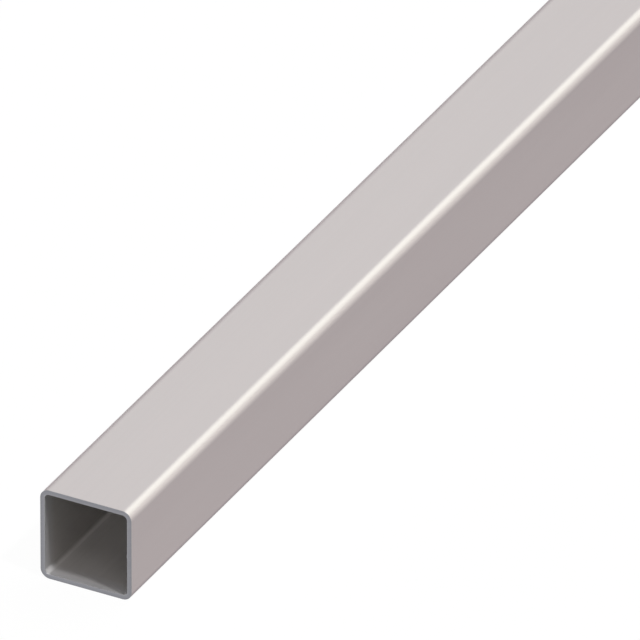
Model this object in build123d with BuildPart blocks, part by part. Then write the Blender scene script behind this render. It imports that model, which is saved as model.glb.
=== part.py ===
"""A length of cold-formed square steel tube, 40 x 40 x 2 mm, cut from mill stock.

The tube starts as flat strip. Rolls bend it round until its edges meet, the joint is
welded along the middle of one wall, and more rolls square it up. Each corner is therefore
a bend: the inside of the bend has a small radius of its own, and the outside radius is
that plus the strip's thickness. The weld is planed flush outside and trimmed to a low bead
inside. Both ends are sawn square and lightly deburred.

Frame: +Z up, the tube lies along Y on its bottom face, with the origin under its middle.
The wall with the weld is on the +X side.
"""

from build123d import *
import os

# Section
outer_side = 40.0           # across the flats, the same both ways
wall = 2.0                  # strip thickness
inner_bend_radius = 2.0     # inside each corner

# Weld bead left inside
bead_width = 2.0            # across the wall, toe to toe
bead_height = 0.2           # its crown above the inner face of the wall

# Length and ends
stock_length = 1000.0       # as sold
end_deburr = 0.15           # bevel round each cut edge

# What follows from them
outer_bend_radius = inner_bend_radius + wall
bore_side = outer_side - 2 * wall
mid_height = outer_side / 2
inner_face = bore_side / 2
mid_wall = inner_face + wall / 2

os.makedirs("parts", exist_ok=True)

with BuildPart() as square_tube:
    # The section stands across the tube: sketch x is the frame's X and sketch y its Z.
    with BuildSketch(Plane.XZ):
        with Locations((0, mid_height)):
            RectangleRounded(outer_side, outer_side, outer_bend_radius)
            RectangleRounded(bore_side, bore_side, inner_bend_radius, mode=Mode.SUBTRACT)
        # The bead: an arc between its two toes on the inner face, rooted in the wall.
        with BuildLine():
            lower_toe = (inner_face, mid_height - bead_width / 2)
            upper_toe = (inner_face, mid_height + bead_width / 2)
            crown = (inner_face - bead_height, mid_height)
            ThreePointArc(lower_toe, crown, upper_toe)
            Polyline(
                upper_toe,
                (mid_wall, mid_height + bead_width / 2),
                (mid_wall, mid_height - bead_width / 2),
                lower_toe,
            )
        make_face()
    extrude(amount=stock_length / 2, both=True)
    # Outer and inner edges of both cut ends.
    cut_ends = square_tube.faces().filter_by(Axis.Y)
    chamfer(cut_ends.edges(), length=end_deburr)

square_tube.part.label = "square_tube"
export_step(square_tube.part, "parts/square_tube.step")
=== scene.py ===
"""A length of square steel tube on a pale studio floor.

The tube is one closed surface, worked out as a grid of rows along the wall's outline (outer
skin, sawn end, bore, sawn end) by columns round the section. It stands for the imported
node square_tube and has the same sizes, with finer bends, edges and weld.
"""

import math

import bpy
import numpy as np
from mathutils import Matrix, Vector


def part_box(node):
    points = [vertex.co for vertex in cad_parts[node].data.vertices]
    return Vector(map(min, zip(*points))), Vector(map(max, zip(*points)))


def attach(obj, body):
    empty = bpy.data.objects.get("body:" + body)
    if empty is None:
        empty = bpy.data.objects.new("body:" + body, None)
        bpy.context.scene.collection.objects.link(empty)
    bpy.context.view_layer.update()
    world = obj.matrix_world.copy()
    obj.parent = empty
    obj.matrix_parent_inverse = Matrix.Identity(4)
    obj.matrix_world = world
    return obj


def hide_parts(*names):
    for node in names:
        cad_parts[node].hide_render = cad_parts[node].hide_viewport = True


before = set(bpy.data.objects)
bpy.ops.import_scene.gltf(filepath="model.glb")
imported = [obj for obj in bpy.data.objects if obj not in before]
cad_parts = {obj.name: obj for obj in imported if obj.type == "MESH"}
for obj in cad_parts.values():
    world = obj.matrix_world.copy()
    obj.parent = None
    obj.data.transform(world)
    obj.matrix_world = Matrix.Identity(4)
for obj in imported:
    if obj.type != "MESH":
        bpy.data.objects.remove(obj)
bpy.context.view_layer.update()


# ---- The tube ----------------------------------------------------------------------------
# One length of low-carbon steel strip, rolled round cold, seam-welded and squared up, so its
# corners are bends and its weld runs along the middle of the +X wall. The outside is smooth
# satin steel, the bore keeps its duller mill skin, and the sawn ends are bare metal.

MM = 0.001
tube_low, tube_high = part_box("square_tube")
side = tube_high.x - tube_low.x
length = tube_high.y - tube_low.y
mid_height = (tube_low.z + tube_high.z) / 2

# Sizes that the box doesn't show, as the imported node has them.
wall = 2.0 * MM
inner_bend_radius = 2.0 * MM
bend_radius = inner_bend_radius + wall
flat_half = side / 2 - bend_radius
edge_round = 0.15 * MM
bead_width = 2.0 * MM
bead_height = 0.2 * MM

# The first row or column past a bend or an edge is this near, so that the flats shade flat.
first_gap = 0.3 * MM

# The finishes of the tube's surface, in the order of its materials.
SKIN, EDGE, SAWN, BORE = range(4)


def section_path(half_flat, bead_half):
    """Columns round the section, as bend centres and facings.

    The section is what the rim of a circle leaves as its centre runs round a square. Along a
    side the centre slides and the rim faces one way; at a corner the centre stays and the
    facing turns by a quarter. Each side's columns crowd together near its two bends and
    across its middle, where the weld is. Returns the centres' x and z, the facing angles,
    and how far along its side each centre has slid, NaN on the bends and off the weld's side.
    """
    weld_columns = 13
    bend_steps = 17
    outer_part = half_flat - first_gap * np.array([0, 1, 6])
    weld_part = np.linspace(-bead_half, bead_half, weld_columns)
    slide = np.concatenate([-outer_part, weld_part, outer_part[::-1]])
    turn = np.linspace(0, math.pi / 2, bend_steps + 1)[1:-1]
    quarter = np.arange(4)[:, None] * math.pi / 2
    slid = np.concatenate([slide, np.full(turn.size, half_flat)])[None, :]
    facing = quarter + np.concatenate([np.zeros(slide.size), turn])
    x = half_flat * np.cos(quarter) - slid * np.sin(quarter)
    z = half_flat * np.sin(quarter) + slid * np.cos(quarter)
    on_weld_side = (quarter == 0) & (np.arange(slid.size) < slide.size)
    along = np.where(on_weld_side, slid, np.nan)
    return x.ravel(), z.ravel(), facing.ravel(), along.ravel()


def wall_outline(half_length, rounding):
    """Rows along the wall's outline, as y, a fixed depth and a share of the wall's depth.

    The rows go down the outer skin from the far end, over a quarter-round edge, across the
    near end, over the inner edge, back up the bore and over the far end. They are closest on
    the edges, and closer in the bore, for the weld, than on the skin. A row's depth under the
    skin is its fixed part plus its share of the wall's thickness there. Returns the three
    arrays, and the finish between each row and the next.
    """
    edge_steps = 5
    across = np.array([0.04, 0.5, 0.96])
    skin_rows = 33
    bore_rows = 250
    inside = half_length - rounding
    arc = np.linspace(0, math.pi / 2, edge_steps + 1)
    edge_y = inside + rounding * np.sin(arc)
    edge_depth = rounding * (1 - np.cos(arc))
    end_y = np.concatenate([edge_y, np.full(across.size, half_length), edge_y[::-1]])
    end_fixed = np.concatenate([edge_depth, rounding * (1 - 2 * across), -edge_depth[::-1]])
    end_share = np.concatenate([np.zeros(arc.size), across, np.ones(arc.size)])
    end_steps = [edge_steps, across.size + 1, edge_steps, 1]

    by_edge = inside - first_gap
    skin_last = half_length - 20 * MM
    bore_last = half_length - 2 * MM
    skin_y = np.concatenate([[-by_edge], np.linspace(-skin_last, skin_last, skin_rows), [by_edge]])
    bore_y = np.concatenate([[-by_edge], np.linspace(-bore_last, bore_last, bore_rows), [by_edge]])
    y = np.concatenate([skin_y[::-1], -end_y, bore_y, end_y[::-1]])
    fixed = np.concatenate([np.zeros(skin_y.size), end_fixed, np.zeros(bore_y.size), end_fixed[::-1]])
    share = np.concatenate([np.zeros(skin_y.size), end_share, np.ones(bore_y.size), end_share[::-1]])
    finish = np.concatenate(
        [
            np.full(skin_y.size, SKIN),
            np.repeat([EDGE, SAWN, EDGE, BORE], end_steps),
            np.full(bore_y.size, BORE),
            np.repeat([EDGE, SAWN, EDGE, SKIN], end_steps),
        ]
    )
    return y, fixed, share, finish


def bead_profile(along, y):
    """The weld bead's height over the inner face, for columns along and rows y.

    Across the bead it is a low parabola from toe to toe. Down its length the height wavers
    by up to a tenth of its full size, as three sines whose wavelengths share no common measure.
    """
    mean_share = 0.88
    waver_share = 0.1
    crown = np.clip(1 - (np.nan_to_num(along, nan=bead_width) / (bead_width / 2)) ** 2, 0, 1)
    waver = np.zeros(y.size)
    for wavelength, part in ((113 * MM, 0.5), (61 * MM, 0.3), (27 * MM, 0.2)):
        waver += part * np.sin(2 * math.pi * y / wavelength)
    return bead_height * (mean_share + waver_share * waver)[:, None] * crown[None, :]


def tube_surface():
    """Points (rows, columns, 3) and row finishes of the whole tube, closed both ways.

    Each point is its column's centre plus a reach along the column's facing. The reach is the
    outer bend radius less the point's depth under the skin.
    """
    centre_x, centre_z, facing, along = section_path(flat_half, bead_width / 2)
    y, fixed, share, finish = wall_outline(length / 2, edge_round)
    depth = fixed[:, None] + share[:, None] * (wall + bead_profile(along, y))
    reach = bend_radius - depth
    points = np.empty(depth.shape + (3,))
    points[..., 0] = centre_x + reach * np.cos(facing)
    points[..., 1] = y[:, None]
    points[..., 2] = mid_height + centre_z + reach * np.sin(facing)
    return points, finish


def grid_mesh(name, points, finish):
    """A mesh of quads on a grid that closes on itself in both directions."""
    rows, columns = points.shape[:2]
    index = np.arange(rows * columns).reshape(rows, columns)
    following = np.roll(index, -1, axis=0)
    quads = np.stack(
        [index, np.roll(index, -1, axis=1), np.roll(following, -1, axis=1), following], axis=-1
    )
    mesh = bpy.data.meshes.new(name)
    mesh.from_pydata(points.reshape(-1, 3), [], quads.reshape(-1, 4))
    mesh.polygons.foreach_set("material_index", np.repeat(finish, columns))
    mesh.polygons.foreach_set("use_smooth", np.ones(rows * columns, dtype=bool))
    mesh.update()
    mesh.validate()
    return mesh


class Level:
    """A shader node's output. Where it is a number, arithmetic on it adds the Math nodes it needs."""

    def __init__(self, finish, socket):
        self.finish = finish
        self.socket = socket

    def maths(self, operation, *values):
        return self.finish.node("ShaderNodeMath", {"operation": operation}, dict(enumerate(values)))

    def __add__(self, other):
        return self.maths("ADD", self, other)

    def __sub__(self, other):
        return self.maths("SUBTRACT", self, other)

    def __mul__(self, other):
        return self.maths("MULTIPLY", self, other)

    def __truediv__(self, other):
        return self.maths("DIVIDE", self, other)

    def __pow__(self, other):
        return self.maths("POWER", self, other)

    def __radd__(self, other):
        return self.maths("ADD", other, self)

    def __rsub__(self, other):
        return self.maths("SUBTRACT", other, self)

    def __rmul__(self, other):
        return self.maths("MULTIPLY", other, self)

    def __abs__(self):
        return self.maths("ABSOLUTE", self)

    def at_least(self, floor):
        return self.maths("MAXIMUM", self, floor)

    def clamped(self):
        return self.maths("MINIMUM", self, 1.0).at_least(0.0)


class Finish:
    """A material or a world being made: node() adds any node and returns one of its outputs."""

    def __init__(self, owner):
        owner.use_nodes = True
        self.owner = owner
        self.tree = owner.node_tree
        self.tree.nodes.clear()

    def node(self, kind, settings=None, inputs=None, output=0):
        added = self.tree.nodes.new(kind)
        for name, value in (settings or {}).items():
            if name == "stops":
                ramp = added.color_ramp.elements
                for stop, (place, colour) in enumerate(value):
                    element = ramp[stop] if stop < 2 else ramp.new(place)
                    element.position = place
                    element.color = colour
            else:
                setattr(added, name, value)
        for name, value in (inputs or {}).items():
            if isinstance(value, Level):
                self.tree.links.new(value.socket, added.inputs[name])
            else:
                added.inputs[name].default_value = value
        return Level(self, added.outputs[output]) if added.outputs else None

    def place(self):
        """Where a point is, in metres. The tube's own axes are the frame's."""
        return self.node("ShaderNodeTexCoord", None, None, "Object")

    def along(self, place, axis):
        return self.node("ShaderNodeSeparateXYZ", None, {"Vector": place}, axis)

    def noise(self, place, scale, detail=2.0, roughness=0.5):
        """Noise from 0 to 1 whose grains are 1/scale long on each axis, in metres."""
        stretched = self.node(
            "ShaderNodeMapping", {"vector_type": "POINT"}, {"Vector": place, "Scale": scale}
        )
        values = {"Vector": stretched, "Scale": 1.0, "Detail": detail, "Roughness": roughness}
        return self.node("ShaderNodeTexNoise", {"noise_dimensions": "3D"}, values)

    def depth(self, place):
        """Millimetres under the outer skin, for a point of the wall: it runs round the bends too."""
        over = []
        for axis, middle in (("X", 0), ("Z", mid_height)):
            past_flat = abs(self.along(place, axis) - middle) - flat_half
            over.append(past_flat.at_least(0) / MM)
        return bend_radius / MM - (over[0] ** 2 + over[1] ** 2) ** 0.5

    def mix(self, share, first, second):
        return self.node("ShaderNodeMix", {"data_type": "RGBA"}, {0: share, 6: first, 7: second}, 2)

    def looked_at(self):
        """1 for what the eye and the metal see, 0 for the light that falls on matt things."""
        rays = ("Is Camera Ray", "Is Glossy Ray", "Is Transmission Ray")
        return sum(self.node("ShaderNodeLightPath", None, None, ray) for ray in rays).clamped()

    def steel(self, colour, roughness, height, relief, metallic=1.0, edge_tint=(0.5, 0.5, 0.5, 1)):
        """The metal's surface, with its relief, in metres, as a bump. Seen edge on, it is edge_tint."""
        bumped = self.node(
            "ShaderNodeBump", None, {"Strength": 1.0, "Distance": relief, "Height": height}
        )
        values = {
            "Base Color": colour,
            "Metallic": metallic,
            "Roughness": roughness,
            "Specular Tint": edge_tint,
            "Normal": bumped,
        }
        surface = self.node("ShaderNodeBsdfPrincipled", None, values)
        self.node("ShaderNodeOutputMaterial", None, {"Surface": surface})


def satin_skin():
    """Smooth cold-rolled steel, drawn into faint lines along the tube by the forming rolls."""
    finish = Finish(bpy.data.materials.new("satin_skin"))
    place = finish.place()
    relief = 0.004 * MM
    cloud = finish.noise(place, (40, 6, 40), detail=3)
    roll_lines = finish.noise(place, (900, 5, 900), detail=3, roughness=0.6)
    hair_lines = finish.noise(place, (4000, 30, 4000))
    tone = (0.5 + 0.35 * (cloud - 0.5) + 0.5 * (roll_lines - 0.5)).clamped()
    colour = finish.mix(tone, (0.475, 0.433, 0.429, 1), (0.539, 0.491, 0.487, 1))
    roughness = 0.43 + 0.06 * (roll_lines - 0.5) + 0.06 * (cloud - 0.5)
    height = 0.7 * roll_lines + 0.3 * hair_lines
    finish.steel(colour, roughness, height, relief, edge_tint=(0.347, 0.308, 0.35, 1))
    return finish.owner


def deburred_edge():
    """Fresh metal where the saw's burr has been taken off with a brush, paler on the inner edge."""
    finish = Finish(bpy.data.materials.new("deburred_edge"))
    place = finish.place()
    relief = 0.02 * MM
    nicks = finish.noise(place, (500, 500, 500))
    tone = (0.35 + 0.5 * (nicks - 0.5) + 0.15 * finish.depth(place)).clamped()
    colour = finish.mix(tone, (0.2, 0.2, 0.21, 1), (0.45, 0.45, 0.46, 1))
    finish.steel(colour, 0.3 + 0.12 * nicks, nicks, relief)
    return finish.owner


def sawn_end():
    """Bare sawn steel with the blade's fine parallel lines.

    It is cooler than the skin, as bare metal is, and darker than it as painted shade, as dim as an
    end turned away from the light. It is a little paler towards the bore.
    """
    finish = Finish(bpy.data.materials.new("sawn_end"))
    place = finish.place()
    blade_tilt = 0.21
    relief = 0.02 * MM
    tilted = finish.node(
        "ShaderNodeMapping",
        {"vector_type": "POINT"},
        {"Vector": place, "Rotation": (0, blade_tilt, 0)},
    )
    saw_lines = finish.noise(tilted, (60, 60, 2600))
    grain = finish.noise(place, (1200, 1200, 1200))
    tone = (0.3 + 0.8 * (saw_lines - 0.5) + 0.22 * finish.depth(place)).clamped()
    # Painted shade: both colours are darker than bare sawn steel, as dim as an end turned away from the
    # light.
    colour = finish.mix(tone, (0.214, 0.216, 0.237, 1), (0.314, 0.316, 0.34, 1))
    roughness = 0.34 + 0.1 * (grain - 0.5) + 0.08 * saw_lines
    finish.steel(colour, roughness, 0.8 * saw_lines + 0.2 * grain, relief)
    return finish.owner


def bore_skin():
    """Dull mill skin inside, with a band of heat colours along the weld.

    Each bend has a painted highlight, a pale line where it meets the top or bottom wall, and a
    painted shade, a dark line where it meets the side wall. Near the mouths the walls are paler,
    as a brushed band and as painted light that falls in there, and the bends carry a painted glint.
    The skin is scuffed as far in as things get pushed, and gets smoother beyond that.
    """
    finish = Finish(bpy.data.materials.new("bore_skin"))
    place = finish.place()
    brushed_and_lit_reach = 8 * MM
    scuffed_reach = 70 * MM
    heat_reach = 8 * MM
    heat_begins = side / 2 - wall - 1 * MM
    heat_fades_in = 0.2 * MM
    relief = 0.02 * MM

    x = finish.along(place, "X")
    y = finish.along(place, "Y")
    off_middle = abs(finish.along(place, "Z") - mid_height)
    streaks = finish.noise(place, (500, 6, 500), detail=3)
    blotches = finish.noise(place, (90, 25, 90), detail=4, roughness=0.6)

    # Millimetres past the flat part of a wall, sideways and up or down.
    past_flat = (abs(x) - flat_half) / MM
    past_flat_up = (off_middle - flat_half) / MM
    # Painted highlight: a pale line along each bend where it meets the top or bottom wall.
    painted_highlight_line = (1 - ((past_flat - 0.55) / 0.8) ** 2).clamped()
    # Painted shade: a dark line along each bend where it meets the side wall.
    painted_shade_line = (1 - ((past_flat_up - 0.8) / 0.7) ** 2).clamped()
    tone = (0.38 + 0.15 * (streaks + blotches - 1) + 0.25 * painted_highlight_line - 0.2 * painted_shade_line).clamped()
    mill_skin = finish.mix(tone, (0.34, 0.327, 0.315, 1), (0.86, 0.828, 0.805, 1))

    # Painted light, with a brushed band: near each mouth the walls are painted paler, as a pool of the
    # light that falls in there, over the band a brush has cleaned.
    brushed_and_lit = (abs(y) / brushed_and_lit_reach - (length / 2 / brushed_and_lit_reach - 1)).clamped()
    in_bend = past_flat.clamped() * past_flat_up.clamped()
    brushed_and_lit_walls = finish.mix(0.8 * brushed_and_lit, mill_skin, (0.69, 0.7, 0.72, 1))
    # Painted highlight: a near white glint on the bends just inside the mouths.
    with_painted_glint = finish.mix((1.6 * brushed_and_lit * in_bend).clamped(), brushed_and_lit_walls, (0.95, 0.95, 0.95, 1))

    from_weld = off_middle / heat_reach + 0.1 * (blotches - 0.5)
    heat = finish.node(
        "ShaderNodeValToRGB",
        {
            "stops": [
                (0.05, (0.16, 0.17, 0.20, 1)),
                (0.25, (0.20, 0.22, 0.30, 1)),
                (0.50, (0.34, 0.27, 0.20, 1)),
                (0.95, (0.40, 0.38, 0.36, 1)),
            ]
        },
        {"Fac": from_weld},
    )
    on_weld_wall = ((x - heat_begins) / heat_fades_in).clamped()
    heated = 0.8 * on_weld_wall * (5 - 5 * from_weld).clamped()
    colour = finish.mix(heated, with_painted_glint, heat)

    deep = ((length / 2 - abs(y)) / scuffed_reach - 1).clamped()
    roughness = 0.45 + 0.15 * (blotches - 0.5) - 0.17 * deep
    finish.steel(colour, roughness, streaks + 0.5 * blotches, relief, metallic=0.3)
    return finish.owner


surface, row_finish = tube_surface()
tube = bpy.data.objects.new("square_tube_steel", grid_mesh("square_tube_steel", surface, row_finish))
bpy.context.scene.collection.objects.link(tube)
for material in (satin_skin(), deburred_edge(), sawn_end(), bore_skin()):
    tube.data.materials.append(material)
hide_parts("square_tube")
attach(tube, "root")


# ---- The floor ---------------------------------------------------------------------------
# A plain pale sheet under the tube. It shows white to the eye and in the metal, and still
# darkens a little where the tube keeps the light off it.

floor_half = 60.0
floor_drop = 0.05 * MM
floor_grey = 0.5
white_level = 1.12
white_share = 0.85
floor_corners = [
    (-floor_half, -floor_half, -floor_drop),
    (floor_half, -floor_half, -floor_drop),
    (floor_half, floor_half, -floor_drop),
    (-floor_half, floor_half, -floor_drop),
]
floor_mesh = bpy.data.meshes.new("floor")
floor_mesh.from_pydata(floor_corners, [], [(0, 1, 2, 3)])
floor = bpy.data.objects.new("floor", floor_mesh)
bpy.context.scene.collection.objects.link(floor)
pale = Finish(bpy.data.materials.new("pale_floor"))
seen = pale.looked_at()
matt = pale.node("ShaderNodeBsdfDiffuse", None, {"Color": (floor_grey, floor_grey, floor_grey, 1)})
white = pale.node("ShaderNodeEmission", None, {"Color": (1, 1, 1, 1), "Strength": white_level})
lifted = pale.node("ShaderNodeMixShader", None, {0: white_share * seen, 1: matt, 2: white})
pale.node("ShaderNodeOutputMaterial", None, {"Surface": lifted})
floor_mesh.materials.append(pale.owner)


# ---- The light ---------------------------------------------------------------------------
# The surroundings look white, and seven soft lamps do the lighting. They are far off, so they
# light the whole length alike, and their faint tints together make a near neutral light.

world = bpy.data.worlds.new("studio")
bpy.context.scene.world = world
surround = Finish(world)
glow = surround.node(
    "ShaderNodeBackground", None, {"Color": (1, 1, 1, 1), "Strength": surround.looked_at()}
)
surround.node("ShaderNodeOutputWorld", None, {"Surface": glow})


def soft_sun(name, azimuth, elevation, spread, share, colour):
    """A round lamp far off, spread degrees wide. Azimuth 0 is beyond the far end, 90 is +X.

    A white surface that faces it squarely gets this share of its full brightness from it.
    """
    lamp = bpy.data.lights.new(name, "SUN")
    lamp.angle = math.radians(spread)
    lamp.energy = share * math.pi
    lamp.color = colour
    placed = bpy.data.objects.new(name, lamp)
    placed.rotation_mode = "QUATERNION"
    round_about, up = math.radians(azimuth), math.radians(elevation)
    level = math.cos(up)
    toward = (math.sin(round_about) * level, math.cos(round_about) * level, math.sin(up))
    placed.rotation_quaternion = Vector(toward).to_track_quat("Z", "Y")
    bpy.context.scene.collection.objects.link(placed)


# Beyond the far end: near_key draws the bright line along the upper right bend.
soft_sun("near_key", 20.8, 39.5, 47.8, 0.219, (0.893, 1, 0.885))
soft_sun("far_left", -16.5, 27, 50, 0.075, (0.816, 0.99, 1))
# Low, from either side.
soft_sun("left_rim", -66, 8, 16, 0.179, (0.922, 1, 0.992))
soft_sun("low_right", 65.4, 14.7, 32, 0.144, (0.985, 1, 0.907))
# From the right and the front: these reach the sawn end and into the bore.
soft_sun("side_light", 103, 60.6, 4, 0.282, (1, 0.967, 0.971))
soft_sun("high_fill", 140, 60.6, 30.6, 0.138, (1, 0.974, 0.977))
soft_sun("front_fill", 173, 28, 12, 0.22, (1, 0.98, 0.987))


# ---- The camera --------------------------------------------------------------------------
# A very long lens from far off, ahead of the near end, to its right and above it, so that
# the tube's edges stay all but parallel. It aims off the near end's top left corner, by one
# length to the right and one up, across the line of sight.

azimuth = math.radians(27.96)
elevation = math.radians(31.20)
distance = 11.662
aim_right = 108.05 * MM
aim_up = 64.90 * MM
camera_data = bpy.data.cameras.new("camera")
camera_data.lens = 1700
camera_data.sensor_width = 36
camera_data.clip_end = 100
camera = bpy.data.objects.new("camera", camera_data)
bpy.context.scene.collection.objects.link(camera)
back = Vector(
    (
        math.sin(azimuth) * math.cos(elevation),
        -math.cos(azimuth) * math.cos(elevation),
        math.sin(elevation),
    )
)
camera.rotation_mode = "QUATERNION"
camera.rotation_quaternion = (-back).to_track_quat("-Z", "Y")
turned = camera.rotation_quaternion.to_matrix()
near_top_left = Vector((tube_low.x, tube_low.y, tube_high.z))
aim = near_top_left + aim_right * turned.col[0] + aim_up * turned.col[1]
camera.location = aim + distance * back
bpy.context.scene.camera = camera
bpy.context.scene.view_settings.view_transform = "Standard"
